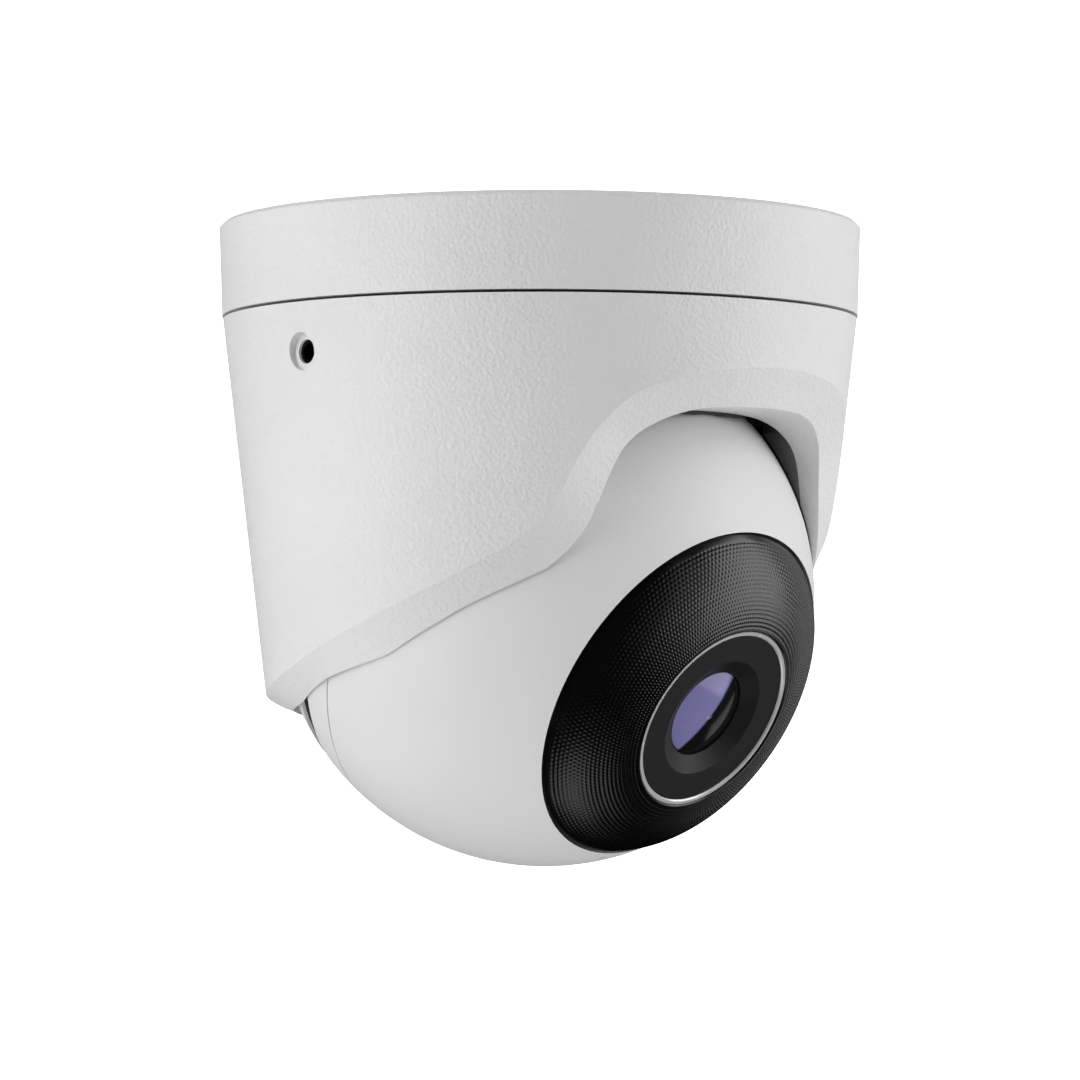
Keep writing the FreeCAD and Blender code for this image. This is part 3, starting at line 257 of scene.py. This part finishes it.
def lens_with_painted_reflection():
    """Coated front lens: dark glass with a painted reflection of a light, violet, over one side
    of its face, divided from the dark side by a chord a little off the vertical."""
    paint = Paint("coated_lens_painted_reflection", Roughness=0.12, Specular_IOR_Level=0.2)
    to_lens = frame["nodes"]["front_lens"].matrix_world.inverted()
    towards = BALL_FRAME.to_3x3() @ Vector((-math.cos(PAINTED_REFLECTION_TURN), math.sin(PAINTED_REFLECTION_TURN), 0))
    towards = to_lens.to_3x3() @ towards
    middle = (to_lens @ BALL_CENTRE).dot(towards)
    across = paint.node("ShaderNodeVectorMath", operation="DOT_PRODUCT")
    across.inputs[1].default_value = towards
    paint.link(paint.object_space(), "Object", across, 0)
    side = paint.node("ShaderNodeMapRange", interpolation_type="SMOOTHSTEP")
    side.inputs["From Min"].default_value = middle + PAINTED_REFLECTION_FADE[0]
    side.inputs["From Max"].default_value = middle + PAINTED_REFLECTION_FADE[1]
    paint.link(across, "Value", side, "Value")
    # Violet painted reflection of a light on the coated side of the lens.
    violet = paint.node("ShaderNodeValToRGB")
    violet.color_ramp.elements[0].color = (0.155, 0.155, 0.33, 1)
    violet.color_ramp.elements[1].color = (0.20, 0.19, 0.38, 1)
    paint.link(paint.noise(240.0, 2.0), "Fac", violet, "Fac")
    paint.plain_to_ramp(side, "Result", (0.006, 0.006, 0.007), violet)
    return paint.material


def glass(name, tint):
    """Clear tinted glass or epoxy."""
    paint = Paint(name, Roughness=0.05, Transmission_Weight=1.0, IOR=1.5)
    fine = paint.noise(200.0, 2.0)
    paint.colours(fine, "Fac", tint, tuple(min(1.0, channel * 1.05) for channel in tint))
    return paint.material


# ------------------------------------------------------------------ meshes

def mesh_piece(name, vertices, faces, material, body, node):
    """A new smooth piece from mesh data, riding on a body and standing for a CAD node."""
    mesh = bpy.data.meshes.new(name)
    mesh.from_pydata([tuple(v) for v in vertices], [], faces)
    mesh.validate()
    mesh.update()
    for polygon in mesh.polygons:
        polygon.use_smooth = True
    piece = bpy.data.objects.new(name, mesh)
    bpy.context.collection.objects.link(piece)
    piece.data.materials.append(material)
    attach(piece, body)
    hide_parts(node)
    return piece


def along(profile, steps):
    """Points spaced evenly along a polyline."""
    lengths = [0.0]
    for start, end in zip(profile, profile[1:]):
        lengths.append(lengths[-1] + math.dist(start, end))
    points = []
    for index in range(steps + 1):
        target = lengths[-1] * index / steps
        for at in range(len(profile) - 1):
            if lengths[at + 1] >= target or at == len(profile) - 2:
                break
        span = lengths[at + 1] - lengths[at]
        share = (target - lengths[at]) / span if span else 0.0
        a, b = profile[at], profile[at + 1]
        points.append((a[0] + (b[0] - a[0]) * share, a[1] + (b[1] - a[1]) * share))
    return points


def arc_through(a, b, c, steps):
    """Points on the circle through three (radius, height) points, from a to c."""
    ax, ay, bx, by, cx, cy = *a, *b, *c
    d = 2 * (ax * (by - cy) + bx * (cy - ay) + cx * (ay - by))
    ux = ((ax**2 + ay**2) * (by - cy) + (bx**2 + by**2) * (cy - ay)
          + (cx**2 + cy**2) * (ay - by)) / d
    uy = ((ax**2 + ay**2) * (cx - bx) + (bx**2 + by**2) * (ax - cx)
          + (cx**2 + cy**2) * (bx - ax)) / d
    radius = math.dist((ux, uy), a)
    start = math.atan2(ay - uy, ax - ux)
    end = math.atan2(cy - uy, cx - ux)
    return [(ux + radius * math.cos(start + (end - start) * n / steps),
             uy + radius * math.sin(start + (end - start) * n / steps))
            for n in range(steps + 1)]


# The bezel's section, as (radius, height) along the sight axis from the ball's centre, in mm.
BEZEL_RIM = (30.2, 34.3)
BEZEL_SHOULDER = (27.6, 37.95)
BEZEL_CREST = (23.5, 40.75)
BEZEL_BROW = (20.2, 42.15)
BEZEL_INNER = (16.45, 42.9)
BEZEL_BACK = [(16.45, 39.5), (17.6, 39.5), (22.8, 38.6), (28.4, 33.0), (30.2, 33.0)]
ARC_STEPS = 40

DIMPLES_ROUND = 216
DIMPLE_ROWS = 21
POINTS_PER_DIMPLE = 4
STEPS_PER_ROW = 6
DIMPLE_DEPTH = 0.11
DIMPLE_RADIUS = 0.40            # as a share of the closer spacing
PLAIN_AT_RIM, PLAIN_AT_RING = 1.5, 0.5


def make_bezel(material):
    """The front cap with its dimples: a fine grid round the sight axis, pressed in by small
    round hollows in staggered rows, and a plain border at the rim and at the chrome ring."""
    outline = arc_through(BEZEL_RIM, BEZEL_SHOULDER, BEZEL_CREST, ARC_STEPS)
    outline += arc_through(BEZEL_CREST, BEZEL_BROW, BEZEL_INNER, ARC_STEPS)[1:]
    steps = DIMPLE_ROWS * STEPS_PER_ROW
    skin = along(outline, steps)
    total = sum(math.dist(a, b) for a, b in zip(skin, skin[1:]))
    pitch = (total - PLAIN_AT_RIM - PLAIN_AT_RING) / DIMPLE_ROWS
    around = DIMPLES_ROUND * POINTS_PER_DIMPLE
    vertices = []

    def ring(radius, height, normal=Vector((0, 0)), press=lambda n: 0.0):
        """One ring of the grid, each point pushed in along the skin's normal."""
        start = len(vertices)
        for n in range(around):
            turn = 2 * math.pi * n / around
            depth = press(n)
            r, h = radius - normal.x * depth, height - normal.y * depth
            vertices.append(BALL_FRAME @ Vector((r * math.cos(turn) * MM,
                                                 r * math.sin(turn) * MM, h * MM)))
        return start

    starts = []
    for index, (radius, height) in enumerate(skin):
        before = skin[max(index - 1, 0)]
        after = skin[min(index + 1, len(skin) - 1)]
        tangent = Vector((after[0] - before[0], after[1] - before[1])).normalized()
        row = (total * index / steps - PLAIN_AT_RIM) / pitch
        spacing = 2 * math.pi * radius / DIMPLES_ROUND

        def press(n):
            """Depth at the ring's point n; every second row is shifted by half a dimple."""
            if not 0 <= row < DIMPLE_ROWS:
                return 0.0
            across = (n / POINTS_PER_DIMPLE + 0.5 * (int(row) % 2)) % 1.0
            u = (across - 0.5) * spacing
            v = (row % 1.0 - 0.5) * pitch
            size = DIMPLE_RADIUS * min(pitch, spacing)
            return DIMPLE_DEPTH * max(0.0, 1 - (u * u + v * v) / (size * size))

        starts.append(ring(radius, height, Vector((tangent.y, -tangent.x)), press))
    starts += [ring(radius, height) for radius, height in BEZEL_BACK]
    faces = []
    for first, second in zip(starts, starts[1:] + starts[:1]):
        for n in range(around):
            following = (n + 1) % around
            faces.append((first + n, first + following, second + following, second + n))
    return mesh_piece("dimpled_bezel", vertices, faces, material, "eyeball", "bezel")


def assign(material, *nodes):
    """Give CAD nodes a better material."""
    for name in nodes:
        for slot in frame["nodes"][name].material_slots:
            slot.material = material


def finish_nodes():
    """Materials for every CAD piece, seen or hidden, but the bezel, which has its own mesh."""
    white = shell_white()
    assign(white, "base_ring", "cover")
    assign(ball_white(), "ball_front_shell", "ball_rear_shell")
    assign(frame_black_with_painted_light(), "inner_bracket")
    assign(plain("deep_black", grey(0.012), grey(0.02), 0.5, 0.65), "seat_ring", "tilt_ring",
           "lens_holder")
    assign(window_black(), "front_window")
    assign(chrome(), "trim_ring")
    assign(lens_with_painted_reflection(), "front_lens")
    assign(glass("clear_glass", (0.85, 0.9, 0.95)), "rear_lens")
    assign(glass("filter_glass", (0.45, 0.75, 0.85)), "ir_filter")
    assign(glass("lamp_epoxy", (0.8, 0.8, 0.85)), "ir_leds")
    steel = metal("plated_steel", grey(0.50), grey(0.62), 0.25, 0.4)
    assign(steel, "pan_ring", "card_socket", "microphone")
    assign(metal("zinc_plate", grey(0.24), grey(0.30), 0.45, 0.6), "mounting_plate")
    screws = metal("screw_steel", grey(0.42), grey(0.55), 0.25, 0.38, (60, 60, 1))
    assign(screws, "base_screws", "pan_ring_screws", "bracket_screws", "shell_screws",
           "board_screws")
    assign(metal("black_oxide", grey(0.02), grey(0.04), 0.3, 0.45), "lock_screw")
    assign(metal("black_anodised", grey(0.02), grey(0.035), 0.35, 0.5), "lens_barrel")
    assign(metal("brass", (0.55, 0.38, 0.14), (0.66, 0.47, 0.2), 0.25, 0.38), "board_spacers")
    assign(metal("extruded_aluminium", grey(0.58), grey(0.7), 0.3, 0.45, (1, 60, 1)),
           "heat_sink")
    assign(plain("foam", grey(0.02), grey(0.05), 0.85, 0.95, 900.0, 0.0002), "ceiling_gasket")
    assign(plain("rubber", grey(0.018), grey(0.03), 0.6, 0.75), "cable_grommet", "shell_seal",
           "cable_gland", "microphone_boot")
    assign(plain("slip_plastic", grey(0.6), grey(0.68), 0.35, 0.5), "friction_washer")
    assign(plain("solder_mask", (0.01, 0.07, 0.03), (0.015, 0.10, 0.045), 0.3, 0.42, 700.0),
           "main_board", "sensor_board")
    assign(plain("white_mask", grey(0.6), grey(0.68), 0.35, 0.45, 700.0), "led_board")
    assign(plain("chip_resin", grey(0.02), grey(0.03), 0.45, 0.6, 4000.0), "processor_chip",
           "memory_chips", "memory_card", "image_sensor")
    assign(plain("thermal_pad", (0.30, 0.33, 0.4), (0.36, 0.39, 0.46), 0.6, 0.75),
           "thermal_pad")
    assign(plain("connector_nylon", (0.62, 0.6, 0.52), (0.68, 0.66, 0.58), 0.4, 0.55),
           "cable_header")


# ------------------------------------------------------------------ stage, lights, camera

STAGE_GLOW = 1.6
WORLD_LIGHT = 0.27
CAMERA_AZIMUTH = math.radians(48)
CAMERA_DISTANCE = 0.660
CAMERA_HEIGHT = -0.0736
CAMERA_PITCH = 0.03
LOOK_HEIGHT = -0.0575


def make_stage():
    """A pale floor that curves up into a pale wall all round, far from the object."""
    paint = Paint("pale_stage", Roughness=0.9, Specular_IOR_Level=0.0)
    soft = paint.noise(0.6, 2.0)
    paint.colours(soft, "Fac", grey(0.93), grey(0.95))
    paint.shader.inputs["Emission Color"].default_value = (1, 1, 1, 1)
    paint.shader.inputs["Emission Strength"].default_value = STAGE_GLOW
    radius, bend, floor, top, around = 3.2, 1.2, -0.9, 3.4, 96
    profile = [(0.0, floor)]
    profile += [(radius - bend + bend * math.sin(a), floor + bend - bend * math.cos(a))
                for a in (math.radians(10 * n) for n in range(10))]
    profile.append((radius, top))
    vertices = []
    for r, z in profile:
        for n in range(around):
            turn = 2 * math.pi * n / around
            vertices.append((r * math.cos(turn), r * math.sin(turn), z))
    faces = []
    for row in range(len(profile) - 1):
        for n in range(around):
            following = (n + 1) % around
            a, b = row * around, (row + 1) * around
            faces.append((a + n, a + following, b + following, b + n))
    mesh = bpy.data.meshes.new("stage")
    mesh.from_pydata(vertices, [], faces)
    for polygon in mesh.polygons:
        polygon.use_smooth = True
    stage = bpy.data.objects.new("stage", mesh)
    bpy.context.collection.objects.link(stage)
    mesh.materials.append(paint.material)
    stage.visible_diffuse = False
    stage.visible_glossy = False
    stage.visible_shadow = False


def area_light(name, azimuth, elevation, distance, size, power):
    """A soft square light that looks at the object; azimuth 0 is the camera's side and
    positive is to the camera's left."""
    turn = CAMERA_AZIMUTH + math.radians(azimuth)
    lift = math.radians(elevation)
    away = Vector((-math.sin(turn) * math.cos(lift), -math.cos(turn) * math.cos(lift),
                   math.sin(lift))) * distance
    light = bpy.data.lights.new(name, "AREA")
    light.shape = "RECTANGLE"
    light.size, light.size_y = size
    light.energy = power
    lamp = bpy.data.objects.new(name, light)
    bpy.context.collection.objects.link(lamp)
    lamp.location = Vector((0, 0, LOOK_HEIGHT)) + away
    lamp.rotation_euler = (-away).to_track_quat("-Z", "Y").to_euler()
    return lamp


def make_lights():
    """Tall soft boxes at both sides and narrow ones at the edges; lights that must not
    mirror in the glossy parts are hidden from reflections."""
    area_light("left_softbox", 72, 8, 1.2, (0.7, 1.6), 12.4).visible_glossy = False
    area_light("left_edge", 50, -5, 1.2, (0.25, 1.6), 0.3)
    area_light("right_softbox", -92, 8, 1.2, (0.9, 1.6), 13.0)
    area_light("right_edge", -50, 10, 1.2, (0.2, 1.4), 1.0)
    area_light("back_edge", -138, 0, 1.2, (0.5, 1.6), 1.6)
    area_light("under_card", 10, -50, 1.2, (0.8, 0.8), 4.4).visible_glossy = False
    area_light("floor_card", 0, -85, 1.2, (0.8, 0.8), 2.2)
    area_light("top_softbox", 5, 60, 1.4, (1.2, 0.5), 3.6).visible_glossy = False
    scene = bpy.context.scene
    world = bpy.data.worlds.new("studio")
    scene.world = world
    world.use_nodes = True
    back = world.node_tree.nodes["Background"]
    back.inputs["Color"].default_value = (1, 1, 1, 1)
    back.inputs["Strength"].default_value = WORLD_LIGHT
    world.cycles_visibility.glossy = False
    scene.view_settings.view_transform = "Standard"


def make_camera():
    """The photograph's view: 48 degrees to the front's left, slightly upwards."""
    camera = bpy.data.cameras.new("camera")
    camera.sensor_width = 36.0
    camera.lens = 128.15
    camera.clip_start = 0.05
    camera.clip_end = 20.0
    holder = bpy.data.objects.new("camera", camera)
    bpy.context.collection.objects.link(holder)
    holder.location = (-CAMERA_DISTANCE * math.sin(CAMERA_AZIMUTH),
                       -CAMERA_DISTANCE * math.cos(CAMERA_AZIMUTH), CAMERA_HEIGHT)
    holder.rotation_euler = (math.pi / 2 + CAMERA_PITCH, 0, -CAMERA_AZIMUTH)
    bpy.context.scene.camera = holder


make_camera()
make_stage()
make_lights()
finish_nodes()
make_bezel(bezel_black())

bpy.context.view_layer.update()
